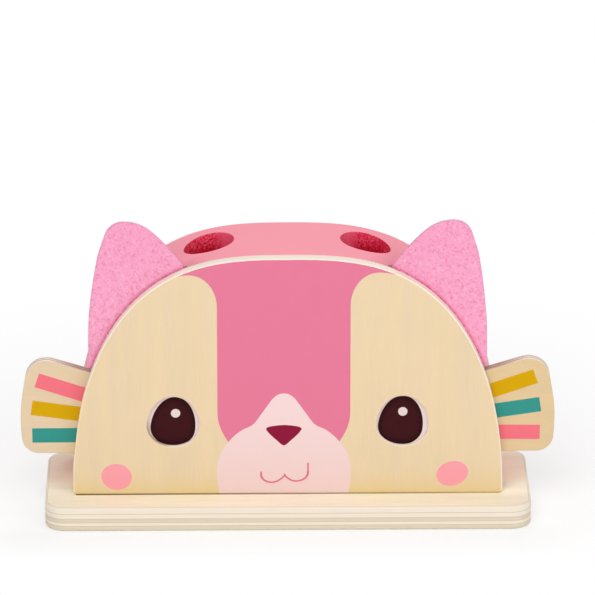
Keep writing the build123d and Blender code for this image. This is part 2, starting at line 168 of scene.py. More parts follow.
class Shader:
    """One material, and the method that adds a node to it."""

    def __init__(self, name, roughness, specular=0.5):
        self.material = bpy.data.materials.new(name)
        self.material.use_nodes = True
        self.tree = self.material.node_tree
        self.surface = self.tree.nodes["Principled BSDF"]
        self.surface.inputs["Roughness"].default_value = roughness
        self.surface.inputs["Specular IOR Level"].default_value = specular
        in_metres = self.node("ShaderNodeTexCoord", {}, {}, "Object")
        scaling = {0: in_metres, "Scale": 1 / MM}
        self.place = self.node("ShaderNodeVectorMath", {"operation": "SCALE"}, scaling)
        split = self.node("ShaderNodeSeparateXYZ", {}, {0: self.place}).socket.node
        self.x, self.y, self.z = (Wire(self, socket) for socket in split.outputs)

    def node(self, kind, settings, sockets, output=0):
        """Add a node: its settings first, then the values or links of its sockets."""
        node = self.tree.nodes.new(kind)
        for name, value in settings.items():
            if name == "stops":
                self.fill_ramp(node, value)
            elif name == "curve":
                self.fill_curve(node, value)
            else:
                setattr(node, name, value)
        for name, value in sockets.items():
            if isinstance(value, Wire):
                self.tree.links.new(value.socket, node.inputs[name])
            else:
                node.inputs[name].default_value = value
        return Wire(self, node.outputs[output])

    def fill_ramp(self, node, stops):
        """Give a colour ramp its stops."""
        ramp = node.color_ramp
        while len(ramp.elements) < len(stops):
            ramp.elements.new(0.5)
        for element, (position, colour) in zip(ramp.elements, stops):
            element.position = position
            element.color = colour

    def fill_curve(self, node, points):
        """Give a curve its points."""
        curve = node.mapping.curves[0]
        while len(curve.points) < len(points):
            curve.points.new(0.5, 0.5)
        for point, (across, up) in zip(curve.points, points):
            point.location = (across, up)
        node.mapping.update()

    def point(self, x, y, z):
        """Three values joined as a place."""
        return self.node("ShaderNodeCombineXYZ", {}, {0: x, 1: y, 2: z})

    def noise(self, place, scale=1.0, detail=2.0, roughness=0.5):
        """Soft random values between about 0.2 and 0.8."""
        sockets = {"Vector": place, "Scale": scale, "Detail": detail, "Roughness": roughness}
        return self.node("ShaderNodeTexNoise", {}, sockets)

    def mix(self, first, second, amount):
        """From the first colour to the second, by an amount from 0 to 1."""
        sockets = {MIX_FACTOR: amount, MIX_FIRST: first, MIX_SECOND: second}
        return self.node("ShaderNodeMix", {"data_type": "RGBA"}, sockets, MIX_RESULT)

    def shaded(self, colour, brightness):
        """A colour made lighter or darker by a value around 1."""
        grey = self.point(brightness, brightness, brightness)
        settings = {"data_type": "RGBA", "blend_type": "MULTIPLY"}
        sockets = {MIX_FACTOR: 1.0, MIX_FIRST: colour, MIX_SECOND: grey}
        return self.node("ShaderNodeMix", settings, sockets, MIX_RESULT)

    def finish(self, colour, height, relief, roughness=None):
        """Link the colour, a bump with its relief in millimetres, and the roughness."""
        self.tree.links.new(colour.socket, self.surface.inputs["Base Color"])
        sockets = {"Height": height, "Distance": relief * MM, "Strength": 1.0}
        bump = self.node("ShaderNodeBump", {}, sockets)
        self.tree.links.new(bump.socket, self.surface.inputs["Normal"])
        if roughness is not None:
            self.tree.links.new(roughness.socket, self.surface.inputs["Roughness"])
        print("material:", self.material.name, "with", len(self.tree.nodes), "nodes")
        return self.material


def dress(names, material):
    """Give CAD nodes a material in place of the plain one."""
    for name in names:
        for slot in nodes[name].material_slots:
            slot.material = material


# %% [markdown]
# Prints have crisp edges. Each printed shape is written as a distance, negative inside it, and
# this step turns a distance into a mask that goes from 0 to 1 over a seventh of a millimetre.

# %% Masks from distances
EDGE_SOFTNESS = 0.14


def inside(distance, softness=EDGE_SOFTNESS):
    """1 where a distance in millimetres is negative, 0 where it is positive."""
    return (0.5 - distance / softness).clamped()


def length(first, second):
    """Distance from the origin to a point with these two coordinates."""
    return (first * first + second * second) ** 0.5


print("a print's edge fades over", EDGE_SOFTNESS, "mm")

# %% [markdown]
# The toy is birch plywood. Its face veneer is sliced from a log, so it shows fine fibres, wide
# soft bands, larger patches and short dark pores, all drawn out along the grain. Four noises
# stretched in that direction give them, and the same pores sink a little into the surface. The
# contrast stays low, because sanded birch is pale and even.

# %% Veneer
# Sizes across the grain and along it, in millimetres.
FIBRE = (0.55, 16)
BAND = (7, 130)
PATCH = (28, 60)
STREAK = (0.22, 3.2)
PORES_ABOVE = 0.66
PORE_EDGE = 9
FIBRE_CONTRAST = 0.22
BAND_CONTRAST = 0.20
PATCH_CONTRAST = 0.10
PORE_CONTRAST = 0.09
WARM_GREEN = 0.98
WARM_BLUE = 0.92
WARM_GAIN = 1.6
WARM_OFFSET = 0.4
FIBRE_HEIGHT = 0.5


def veneer(shader, across, along, seed, colour, contrast=1.0):
    """Colour and height of a sanded veneer, from a place across the grain and one along it."""

    def stretched(size, offset, **settings):
        """A noise drawn out along the grain."""
        place = shader.point(across / size[0], along / size[1], seed + offset)
        return shader.noise(place, **settings)

    fibres = stretched(FIBRE, 0, detail=4, roughness=0.6)
    bands = stretched(BAND, 5)
    patches = stretched(PATCH, 9)
    streaks = stretched(STREAK, 14, detail=1)
    pores = ((streaks - PORES_ABOVE) * PORE_EDGE).clamped()
    brightness = (
        1
        + (fibres - 0.5) * (FIBRE_CONTRAST * contrast)
        + (bands - 0.5) * (BAND_CONTRAST * contrast)
        + (patches - 0.5) * (PATCH_CONTRAST * contrast)
        - pores * (PORE_CONTRAST * contrast)
    )
    warm_colour = (colour[0], colour[1] * WARM_GREEN, colour[2] * WARM_BLUE, 1.0)
    warm = shader.mix(colour, warm_colour, (bands * WARM_GAIN - WARM_OFFSET).clamped())
    return shader.shaded(warm, brightness), fibres * FIBRE_HEIGHT - pores


print("a fibre is", FIBRE[1], "mm long and a pore", STREAK[1], "mm")

# %% [markdown]
# A cut edge of plywood shows its plies. Where a ply's grain runs along the edge it is pale and
# smooth, and where it runs out of the edge it is darker and open-pored, with a thin line of
# glue between. A colour ramp with hard steps lays them out through the thickness, and two
# noises add faint streaks along the plies and specks across them.

# %% Plies of a cut edge
LONG_GRAIN = paint(238, 227, 210)
END_GRAIN = paint(221, 209, 186)
GLUE = paint(208, 192, 168)
GLUE_WIDTH = 0.3
PLY_STREAK = (9, 0.22)
PLY_SPECK = (0.35, 0.5)
STREAK_DRIFT = 60
SPECK_SEED = 3.0
STREAK_CONTRAST = 0.08
SPECK_CONTRAST = 0.06
STREAK_HEIGHT = 0.4
SPECK_HEIGHT = 0.6


def plies(shader, through, layers, around, glue=GLUE, glue_width=GLUE_WIDTH):
    """Colour and height of a plywood edge, from each ply's upper height and its colour."""
    thickness = layers[-1][0]
    stops = []
    low = 0.0
    for top, colour in layers[:-1]:
        stops += [(low, colour), ((top - glue_width / 2) / thickness, glue)]
        low = (top + glue_width / 2) / thickness
    stops.append((low, layers[-1][1]))
    ramp = shader.node("ShaderNodeValToRGB", {"stops": stops}, {0: through / thickness})
    ramp.socket.node.color_ramp.interpolation = "CONSTANT"
    length_way, height_way = PLY_STREAK
    place = shader.point(around / length_way, through / height_way, around / STREAK_DRIFT)
    streaks = shader.noise(place, detail=3)
    length_way, height_way = PLY_SPECK
    place = shader.point(around / length_way, through / height_way, SPECK_SEED)
    specks = shader.noise(place, detail=2, roughness=0.7)
    brightness = 1 + (streaks - 0.5) * STREAK_CONTRAST + (specks - 0.5) * SPECK_CONTRAST
    return shader.shaded(ramp, brightness), specks * SPECK_HEIGHT + streaks * STREAK_HEIGHT


print("a glue line is", GLUE_WIDTH, "mm thick")

# %% [markdown]
# ## The base board
#
# The base is one board with its grain along its length. The veneer belongs to its flat top and
# bottom. The rounded edges cut through it, so they show the plies, and a thin darker line where
# the veneer ends. The height decides which is which.

# %% Base board
BASE_TOP = 12.5
BASE_PLIES = (
    (2.95, END_GRAIN),
    (4.7, LONG_GRAIN),
    (6.75, END_GRAIN),
    (9.3, LONG_GRAIN),
    (BASE_TOP, LONG_GRAIN),
)
BASE_SEED = 3.0
VENEER_SKIN = 0.02
VENEER_END = 0.11
SKIN_SOFTNESS = 0.01
END_SOFTNESS = 0.02
BIRCH = paint(251, 241, 220)

base = Shader("base plywood", roughness=0.55, specular=0.15)
top_colour, top_height = veneer(base, base.y, base.x, BASE_SEED, BIRCH)
edge_colour, edge_height = plies(base, base.z, BASE_PLIES, base.x + base.y)
below_skin = BASE_TOP / 2 - abs(base.z - BASE_TOP / 2)
on_flat = inside(below_skin - VENEER_SKIN, SKIN_SOFTNESS)
on_veneer_end = inside(below_skin - VENEER_END, END_SOFTNESS) * (1 - on_flat)
edge_colour = base.mix(edge_colour, END_GRAIN, on_veneer_end)
print("the base has", len(BASE_PLIES), "plies in", BASE_TOP, "mm")

# %% [markdown]
# A brown line follows the panel and fades towards the right: glue, darkened by painted contact
# shade. Beside the ends of the arch the veneer is painted browner, as a painted shade cast by
# the paddles and the arch.

# %% Glue line and painted shade beside the arch
BIRCH_IN_PAINTED_SHADE = paint(232, 221, 194)
BESIDE_SHADE_AMOUNT = 0.75
BESIDE_SHADE_Y = -2.0
BESIDE_SHADE_REACH = 12
BESIDE_SHADE_FROM = 104
BESIDE_SHADE_FADE = 4
SEAM_GLUE_AND_SHADE = paint(124, 86, 10)
SEAM_Y = -19.0
SEAM_HALF_WIDTH = 0.65
SEAM_HALF_LENGTH = 104.9
SEAM_STRENGTH = 0.6
SEAM_FADE = 0.0029
BASE_RELIEF = 0.04


def seam_strength(x):
    """How dark the glue line and its painted contact shade are: most at the left end, least at
    the right.
    """
    return SEAM_STRENGTH - x * SEAM_FADE


beside_arch = ((abs(base.x) - BESIDE_SHADE_FROM) / BESIDE_SHADE_FADE).clamped()
# Painted shade: the veneer is browner beside the arch's ends, where the paddles shade it.
painted_shade_beside_arch = (1 - abs(base.y - BESIDE_SHADE_Y) / BESIDE_SHADE_REACH).clamped() * beside_arch
top_colour = base.mix(top_colour, BIRCH_IN_PAINTED_SHADE, painted_shade_beside_arch * BESIDE_SHADE_AMOUNT)
base_colour = base.mix(edge_colour, top_colour, on_flat)
past_seam_end = abs(base.x) - SEAM_HALF_LENGTH + SEAM_HALF_WIDTH
from_seam = abs(base.y - SEAM_Y).most(past_seam_end)
on_seam = inside(from_seam - SEAM_HALF_WIDTH) * on_flat
# The glue line, darkened by painted contact shade.
base_colour = base.mix(base_colour, SEAM_GLUE_AND_SHADE, on_seam * seam_strength(base.x))
base_height = edge_height + (top_height - edge_height) * on_flat
dress(["base_board"], base.finish(base_colour, base_height, BASE_RELIEF))

# %% [markdown]
# ## The face
#
# The face is printed on the front panel, whose grain stands upright. Its shapes are simple
# enough to write down. A rose patch runs down the forehead between two bare lobes with round
# corners, and closes in below onto the muzzle. The muzzle is a curve of half widths by height,
# and so is the nose. The cheeks are ellipses. Each is a distance in millimetres on the panel.

# %% Face shapes
ART_MIDDLE = -2.0
PATCH_HALF_WIDTH = 32.7
PATCH_BEND = 56.1
PATCH_BEND_RATE = 0.0218
LOBE_SIZES = (13.7, 17.1)
LOBE_MIDDLE_HEIGHT = 112.1
LOBE_SKEW = 0.011
LOBE_TOP_RADIUS = 27.0
MUZZLE_HALF_WIDTHS = (
    (0, 31.0), (13, 32.0), (20, 32.8), (27, 32.9), (34, 31.2), (41, 26.9), (46.6, 20.9),
    (49.6, 15.4), (55, 11.3), (61, 7.2), (63.6, 5.3), (65.3, 3.3), (66.1, 1.6), (66.5, -1.5),
    (100, -20),
)
NOSE_HALF_WIDTHS = (
    (0, -30), (38.2, -0.6), (38.7, 0.7), (41, 3.3), (44, 6.4), (46.3, 8.3), (47.3, 8.75),
    (48.1, 8.2), (48.8, 6.0), (49.3, 2.4), (49.6, -2), (100, -30),
)
CURVE_SPAN = 100
CURVE_ZERO = 0.5


def half_width(shader, height, table):
    """A half width that follows a table of (height, half width) in millimetres."""
    points = [(up / CURVE_SPAN, CURVE_ZERO + wide / CURVE_SPAN) for up, wide in table]
    sockets = {"Value": height / CURVE_SPAN}
    curve = shader.node("ShaderNodeFloatCurve", {"curve": points}, sockets)
    return (curve - CURVE_ZERO) * CURVE_SPAN


def ellipse(x, z, middle, half_sizes, tilt=0.0):
    """Distance to an ellipse, good enough near its edge."""
    across, up = x - middle[0], z - middle[1]
    turn = math.radians(tilt)
    along = across * math.cos(turn) + up * math.sin(turn)
    beside = up * math.cos(turn) - across * math.sin(turn)
    wide, high = half_sizes
    return (length(along / wide, beside / high) - 1) * min(half_sizes)


def rose_patch(x, z):
    """Distance to the patch: outside two lobes with round inner corners and sloping tops."""
    below_bend = (PATCH_BEND - z).most(0)
    edge = PATCH_HALF_WIDTH - below_bend * below_bend * PATCH_BEND_RATE
    wide, high = LOBE_SIZES
    inward = edge + wide - abs(x)
    outward = (-inward).most(0).least(LOBE_TOP_RADIUS)
    upward = z - x * LOBE_SKEW - LOBE_MIDDLE_HEIGHT + outward * outward / (2 * LOBE_TOP_RADIUS)
    return (1 - length(inward.most(0) / wide, upward.most(0) / high)) * wide


print("muzzle:", len(MUZZLE_HALF_WIDTHS), "points, nose:", len(NOSE_HALF_WIDTHS), "points")

# %% [markdown]
# The mouth is one line: a short stroke, two bowls that meet in a cusp under the nose, and a
# longer stroke. The outer half of each bowl is a quarter of an ellipse, and the inner half is a
# parabola, so that the two rise to the cusp at a slant.

# %% Mouth
LEFT_BOWL = (-6.1, 18.7)
LEFT_BOWL_SIZES = (5.2, 4.2)
RIGHT_BOWL = (5.9, 19.3)
RIGHT_BOWL_SIZES = (6.0, 4.7)
CUSP = (0.4, 22.4)
LEFT_STROKE_TOP = 24.2
RIGHT_STROKE_TOP = 28.7


def bowl(x, z, bottom, sizes, outwards):
    """Distance to the outer half of a bowl, on the side that outwards gives."""
    wide, high = sizes
    middle = (bottom[0], bottom[1] + high)
    line = abs(ellipse(x, z, middle, sizes))
    return line.most((bottom[0] - x) * outwards).most(z - middle[1])


def rise_to_cusp(x, z, bottom, outwards):
    """Distance to the inner half of a bowl, a parabola that ends at the cusp."""
    across = x - bottom[0]
    rate = (CUSP[1] - bottom[1]) / (CUSP[0] - bottom[0]) ** 2
    line = abs(z - bottom[1] - across * across * rate) / length(across * (2 * rate), 1)
    return line.most(across * outwards).most((CUSP[0] - x) * outwards)


def stroke(x, z, middle, low, high):
    """Distance to an upright stroke."""
    return abs(x - middle).most(low - z).most(z - high)


def mouth(x, z):
    """Distance to the middle of the mouth's line."""
    left_middle = LEFT_BOWL[0] - LEFT_BOWL_SIZES[0]
    left_low = LEFT_BOWL[1] + LEFT_BOWL_SIZES[1]
    right_middle = RIGHT_BOWL[0] + RIGHT_BOWL_SIZES[0]
    right_low = RIGHT_BOWL[1] + RIGHT_BOWL_SIZES[1]
    line = bowl(x, z, LEFT_BOWL, LEFT_BOWL_SIZES, -1)
    line = line.least(bowl(x, z, RIGHT_BOWL, RIGHT_BOWL_SIZES, 1))
    line = line.least(rise_to_cusp(x, z, LEFT_BOWL, -1))
    line = line.least(rise_to_cusp(x, z, RIGHT_BOWL, 1))
    line = line.least(stroke(x, z, left_middle, left_low, LEFT_STROKE_TOP))
    return line.least(stroke(x, z, right_middle, right_low, RIGHT_STROKE_TOP))


mouth_left = LEFT_BOWL[0] - LEFT_BOWL_SIZES[0]
mouth_right = RIGHT_BOWL[0] + RIGHT_BOWL_SIZES[0]
print("the mouth is", round(mouth_right - mouth_left, 1), "mm wide")

# %% [markdown]
# The openings for the eyes are eggs too, wider at the bottom. The dark of each eye is a
# narrower egg that leans a little, so the pale plate shows beside it as a thin uneven ring. At
# the lower left of the left opening the ring and its rim carry a painted brown shadow of the
# opening's wall, and a slanted ramp that is measured across the opening finds that corner.

# %% Eye shapes
EYE_MIDDLE_X = 56.5
EYE_MIDDLE_Z = 49.0
OPENING = (12.7, 15.4, 10.8)
DARK_EGG = (11.05, 16.55, 9.75)
DARK_LEAN = 7.0
CORNER_SHADOW_OUTWARDS = 0.75
CORNER_SHADOW_DOWNWARDS = 0.5
CORNER_SHADOW_FROM = 0.55
CORNER_SHADOW_EDGE = 4


def egg(x, z, middle, sizes, lean=0.0):
    """Distance to an egg with its own half width, upper height and lower height."""
    turn = math.radians(lean)
    out, rise = x - middle[0], z - middle[1]
    across = out * math.cos(turn) - rise * math.sin(turn)
    up = out * math.sin(turn) + rise * math.cos(turn)
    wide, upper, lower = sizes
    tall = (up / upper).most(up / -lower)
    return (length(across / wide, tall) - 1) * wide


def shadowed_corner(x, z):
    """1 in the lower left of the left opening, where the wall's shadow is painted, 0 elsewhere.
    """
    wide, _, lower = OPENING
    outwards = (-EYE_MIDDLE_X - x) * (CORNER_SHADOW_OUTWARDS / wide)
    downwards = (EYE_MIDDLE_Z - z) * (CORNER_SHADOW_DOWNWARDS / lower)
    return ((outwards + downwards - CORNER_SHADOW_FROM) * CORNER_SHADOW_EDGE).clamped()


print("an opening is", 2 * OPENING[0], "mm wide and", round(sum(OPENING[1:]), 1), "mm high")

# %% [markdown]
# The panel starts with its bare veneer. Just above the base it is painted yellower, a painted
# warm shade, and a noise drawn out downwards makes that shade uneven.

# %% Bare panel
PANEL_BIRCH = paint(230, 208, 173)
PANEL_SEED = 21.0
PANEL_CONTRAST = 0.5
FOOT_SHADE_YELLOW = paint(228, 203, 146)
FOOT_SHADE_HEIGHT = 13.0
FOOT_NOISE_SIZE = (14, 22)
FOOT_SHADE_UNEVENNESS = 0.7
FOOT_SHADE_POWER = 1.5

face = Shader("painted face", roughness=0.5, specular=0.14)
bare_colour, bare_height = veneer(
    face, face.x, face.z, PANEL_SEED, PANEL_BIRCH, PANEL_CONTRAST
)
above_base = face.z - BASE_TOP
foot_noise = face.noise(face.point(face.x / FOOT_NOISE_SIZE[0], 0.0, face.z / FOOT_NOISE_SIZE[1]), detail=2)
uneven_foot_shade = (foot_noise - 0.5) * FOOT_SHADE_UNEVENNESS
# Painted warm shade: the veneer turns yellower and darker towards the base.
painted_foot_shade = (1 - above_base / FOOT_SHADE_HEIGHT + uneven_foot_shade).clamped() ** FOOT_SHADE_POWER
bare_colour = face.mix(bare_colour, FOOT_SHADE_YELLOW, painted_foot_shade)
print("painted_warm_shade gathers over", FOOT_SHADE_HEIGHT, "mm")

# %% [markdown]
# Each print is a flat colour laid over the veneer in turn, the way the real one was rolled or
# stamped: the rose patch, the muzzle, the nose, the mouth and the two cheeks. The muzzle is
# painted a little darker near the base, a painted shade.

# %% Printed face
ROSE = paint(226, 121, 151)
MUZZLE_PINK = paint(241, 213, 212)
MUZZLE_SHADED_PINK = paint(237, 207, 202)
MUZZLE_SHADE_FADE = 45
NOSE_CRIMSON = paint(138, 12, 54)
MOUTH_PINK = paint(226, 106, 138)
MOUTH_LINE = 0.85
CHEEK_PINK = paint(246, 159, 169)

# Middle, half sizes, and tilt in degrees.
LEFT_CHEEK = ((-84.7, 22.0), (7.6, 6.9), -12)
RIGHT_CHEEK = ((81.2, 23.0), (8.0, 6.5), 20)

art_x = face.x - ART_MIDDLE
muzzle = inside(abs(art_x) - half_width(face, face.z, MUZZLE_HALF_WIDTHS))
nose = inside(abs(art_x) - half_width(face, face.z, NOSE_HALF_WIDTHS))
rose = inside(rose_patch(art_x, face.z))
lips = inside(mouth(art_x, face.z) - MOUTH_LINE / 2)
left_cheek = inside(ellipse(face.x, face.z, *LEFT_CHEEK))
right_cheek = inside(ellipse(face.x, face.z, *RIGHT_CHEEK))
cheeks = left_cheek.most(right_cheek)
# Painted shade: the muzzle darkens towards the base.
muzzle_colour = face.mix(MUZZLE_SHADED_PINK, MUZZLE_PINK, (above_base / MUZZLE_SHADE_FADE).clamped())
art = face.mix(bare_colour, ROSE, rose)
art = face.mix(art, muzzle_colour, muzzle)
art = face.mix(art, NOSE_CRIMSON, nose)
art = face.mix(art, MOUTH_PINK, lips)
art = face.mix(art, CHEEK_PINK, cheeks)
printed = rose.most(muzzle).most(cheeks)
print("cheeks at", LEFT_CHEEK[0], "and", RIGHT_CHEEK[0])

# %% [markdown]
# The panel's rounded edge and its sides show pale plies. Low on the left they are painted
# warmer and duller, a painted shade over the edge's highlight. The rims of the two openings and
# the rounded foot of the panel took the finish of the front.

# %% Edges of the panel
FACE_FRONT = -19.0
FACE_ROUND = paint(247, 233, 215)
FACE_LIGHT = paint(250, 240, 228)
FACE_DARK = paint(243, 229, 215)
FACE_PLIES = (
    (0.7, FACE_ROUND),
    (1.7, FACE_LIGHT),
    (2.8, FACE_DARK),
    (3.9, FACE_LIGHT),
    (4.9, FACE_DARK),
    (6.0, FACE_LIGHT),
)
FACE_GLUE = paint(238, 222, 206)
FACE_SKIN = 0.03
FRONT_SOFTNESS = 0.02
FACE_EDGE_SHADE = paint(252, 226, 182)
EDGE_SHADE_AMOUNT = 0.8
EDGE_SHADE_BELOW = 85
EDGE_SHADE_FADE = 25
EDGE_SHADE_SIDE = -50
ROUNDING = 1.0
FOOT_SOFTNESS = 0.3
LIP_WIDTH = 1.2

through_panel = face.y - FACE_FRONT
edge_colour, edge_height = plies(face, through_panel, FACE_PLIES, face.x + face.z, FACE_GLUE)
# Painted shade: the edge is duller and warmer low on the left.
low_down = ((EDGE_SHADE_BELOW - face.z) / EDGE_SHADE_FADE).clamped()
painted_edge_shade = low_down * (face.x / EDGE_SHADE_SIDE).clamped()
edge_colour = face.mix(edge_colour, FACE_EDGE_SHADE, painted_edge_shade * EDGE_SHADE_AMOUNT)
on_front = inside(through_panel - FACE_SKIN, FRONT_SOFTNESS)
from_opening = egg(abs(face.x), face.z, (EYE_MIDDLE_X, EYE_MIDDLE_Z), OPENING)
on_lip = inside(from_opening - LIP_WIDTH)
at_foot = inside(above_base - ROUNDING, FOOT_SOFTNESS) * inside(through_panel - ROUNDING)
face_colour = face.mix(edge_colour, art, on_front.most(on_lip).most(at_foot))
print("the panel has", len(FACE_PLIES), "plies in", FACE_PLIES[-1][0], "mm")

# %% [markdown]
# The seam with the base is a brown line of glue, darkened by painted contact shade, and a
# little of the eyes' pale pink has come off on the rims of their openings. Print fills the
# grain, so the bump fades under it, and it is a little smoother than sanded wood.

# %% Seam, rims and finish
SEAM_HEIGHT = 0.12
SEAM_ON_FACE = 0.35
RIM_PINK = paint(250, 228, 218)
RIM_AMOUNT = 0.8
RIM_WIDTH = 0.45
RIM_SOFTNESS = 0.3
CORNER_SHADOW_BROWN = paint(160, 131, 91)
CORNER_SHADOW_ON_RIM = 0.7
PRINT_FILLS_GRAIN = 0.75
PRINT_SMOOTHER = 0.07
SANDED_ROUGHNESS = 0.52
FACE_RELIEF = 0.03

# The seam's glue line on the panel, darkened by painted contact shade.
on_seam = inside(above_base - SEAM_HEIGHT, RIM_SOFTNESS) * seam_strength(face.x)
face_colour = face.mix(face_colour, SEAM_GLUE_AND_SHADE, on_seam * SEAM_ON_FACE)
rim = inside(from_opening - RIM_WIDTH, RIM_SOFTNESS)
face_colour = face.mix(face_colour, RIM_PINK, rim * RIM_AMOUNT)
# Painted shadow of the opening's wall on the rim's lower left.
painted_rim_shadow = rim * shadowed_corner(face.x, face.z)
face_colour = face.mix(face_colour, CORNER_SHADOW_BROWN, painted_rim_shadow * CORNER_SHADOW_ON_RIM)
front_height = bare_height * on_front * (1 - printed * PRINT_FILLS_GRAIN)
face_height = edge_height * (1 - on_front) + front_height
face_roughness = SANDED_ROUGHNESS - printed * on_front * PRINT_SMOOTHER
dress(["front_panel"], face.finish(face_colour, face_height, FACE_RELIEF, face_roughness))

# %% [markdown]
# ## The eyes
#
# Each eye is a plate in its opening. It is painted a pale pink that turns to the colour of the
# wood at its rim and is brighter on its right as painted light, and its lower left carries the
# painted shadow of the opening's wall. It has a maroon egg, darker at its edge and below, and a
# round off-white glint.

# %% Eyes
LEFT_EYE = (-56.7, 47.4)
RIGHT_EYE = (55.4, 47.6)
LEFT_GLINT = (-55.3, 55.2)
RIGHT_GLINT = (56.6, 55.6)
GLINT_RADIUS = 2.3
MAROON = paint(59, 15, 20)
MAROON_EDGE = paint(40, 6, 8)
MAROON_LOW = paint(34, 0, 2)
MAROON_LOW_FROM = 43.0
MAROON_LOW_FADE = 6
MAROON_EDGE_WIDTH = 3
EYE_PINK = paint(225, 205, 200)
EYE_PINK_LIT = paint(233, 215, 213)
PLATE_PINK_WIDTH = 1.0
PLATE_FADE = 2.5
LIT_SIDE_FADE = 8
GLINT_WHITE = paint(226, 210, 207)
CORNER_SHADOW_ON_PLATE = 0.3
BRUSH_SIZE = 3
BRUSHING = 0.08
EYE_ROUGHNESS = 0.44
DARK_SMOOTHER = 0.08
EYE_RELIEF = 0.03

eye = Shader("eye paint", roughness=0.45, specular=0.08)
left_egg = egg(eye.x, eye.z, LEFT_EYE, DARK_EGG, DARK_LEAN)
right_egg = egg(eye.x, eye.z, RIGHT_EYE, DARK_EGG, DARK_LEAN)
from_egg = left_egg.least(right_egg)
dark = inside(from_egg)
left_glint = length(eye.x - LEFT_GLINT[0], eye.z - LEFT_GLINT[1])
right_glint = length(eye.x - RIGHT_GLINT[0], eye.z - RIGHT_GLINT[1])
glint = inside(left_glint.least(right_glint) - GLINT_RADIUS)
brush_place = eye.point(eye.x / BRUSH_SIZE, eye.y, eye.z / BRUSH_SIZE)
brushing = eye.noise(brush_place, detail=3)
left_half = (0.5 - eye.x).clamped()
# Painted light: the plate is brighter on its right, the side the light reaches.
right_of_right_eye = ((eye.x - EYE_MIDDLE_X) / LIT_SIDE_FADE).clamped()
right_of_left_eye = ((eye.x + EYE_MIDDLE_X) / LIT_SIDE_FADE).clamped() * left_half
painted_light_on_right = right_of_right_eye.most(right_of_left_eye)
plate = eye.mix(EYE_PINK, EYE_PINK_LIT, painted_light_on_right)
at_plate_rim = ((from_egg - PLATE_PINK_WIDTH - painted_light_on_right) / PLATE_FADE).clamped()
plate = eye.mix(plate, PANEL_BIRCH, at_plate_rim)
# Painted shadow of the opening's wall on the plate's lower left.
plate = eye.mix(plate, CORNER_SHADOW_BROWN, shadowed_corner(eye.x, eye.z) * CORNER_SHADOW_ON_PLATE)
maroon = eye.mix(MAROON, MAROON_EDGE, (from_egg / MAROON_EDGE_WIDTH + 1).clamped())
low_in_eye = ((MAROON_LOW_FROM - eye.z) / MAROON_LOW_FADE).clamped()
maroon = eye.mix(maroon, MAROON_LOW, low_in_eye)
eye_colour = eye.mix(plate, maroon, dark)
eye_colour = eye.mix(eye_colour, GLINT_WHITE, glint)
eye_colour = eye.shaded(eye_colour, 1 - BRUSHING / 2 + brushing * BRUSHING)
eye_roughness = EYE_ROUGHNESS - dark * DARK_SMOOTHER
eye_material = eye.finish(eye_colour, brushing, EYE_RELIEF, eye_roughness)
dress(["left_eye", "right_eye"], eye_material)

# %% [markdown]
# ## The paddles
#
# Three stripes fan out across each paddle, in the same three colours but another order on each
# side. A stripe is a long rectangle: it has a middle line that leaves a point at an angle, a
# half width, and two ends. The outer ends stop short of the paddle's edge.

# %% Stripes
STRIPE_HALF_WIDTH = 3.85
STRIPE_INNER_END = 90.0
CORAL = paint(239, 115, 129)
MUSTARD = paint(211, 163, 0)
TEAL = paint(54, 147, 137)

# Side, height at the outer end, its distance from the middle, how steeply it climbs, colour.
STRIPES = (
    (-1, 71.1, 123.5, 0.338, CORAL),
    (-1, 56.5, 126.3, 0.146, MUSTARD),
    (-1, 41.6, 126.2, -0.004, TEAL),
    (1, 72.0, 122.0, 0.349, MUSTARD),
    (1, 57.1, 124.6, 0.150, TEAL),
    (1, 42.2, 124.6, -0.008, CORAL),
)


def stripe(outward, height, end_height, end, climb):
    """Distance to one stripe."""
    turn = math.atan(climb)
    out, up = outward - end, height - end_height
    along = out * math.cos(turn) + up * math.sin(turn)
    beside = abs(up * math.cos(turn) - out * math.sin(turn))
    return (beside - STRIPE_HALF_WIDTH).most(along).most(STRIPE_INNER_END - end - along)


print("stripes:", len(STRIPES), "each", 2 * STRIPE_HALF_WIDTH, "mm wide")

# %% [markdown]
# A paddle's front is bare veneer with the stripes on it, its back is bare, and its edge shows
# three pale plies. Near the arch the edge is painted darker, a painted shade from the panel and
# ear.

# %% Paddles
PADDLE_FRONT = -12.3
PADDLE_SEED = 33.0
PADDLE_CONTRAST = 0.55
PADDLE_SKIN = 0.3
PADDLE_PALE = paint(244, 234, 219)
PADDLE_PLIES = ((2.0, PADDLE_PALE), (4.0, PADDLE_PALE), (6.0, PADDLE_PALE))
PADDLE_GLUE = paint(186, 160, 148)
PADDLE_GLUE_WIDTH = 0.8
PADDLE_EDGE_SHADE = paint(158, 116, 104)
PADDLE_SHADE_FROM = 104
PADDLE_SHADE_LENGTH = 14
PADDLE_SHADE_AMOUNT = 0.7
LEFT_BIRCH = paint(225, 202, 171)
RIGHT_BIRCH = paint(222, 196, 155)
STRIPE_FILLS_GRAIN = 0.7
STRIPE_SMOOTHER = 0.08
PADDLE_RELIEF = 0.03

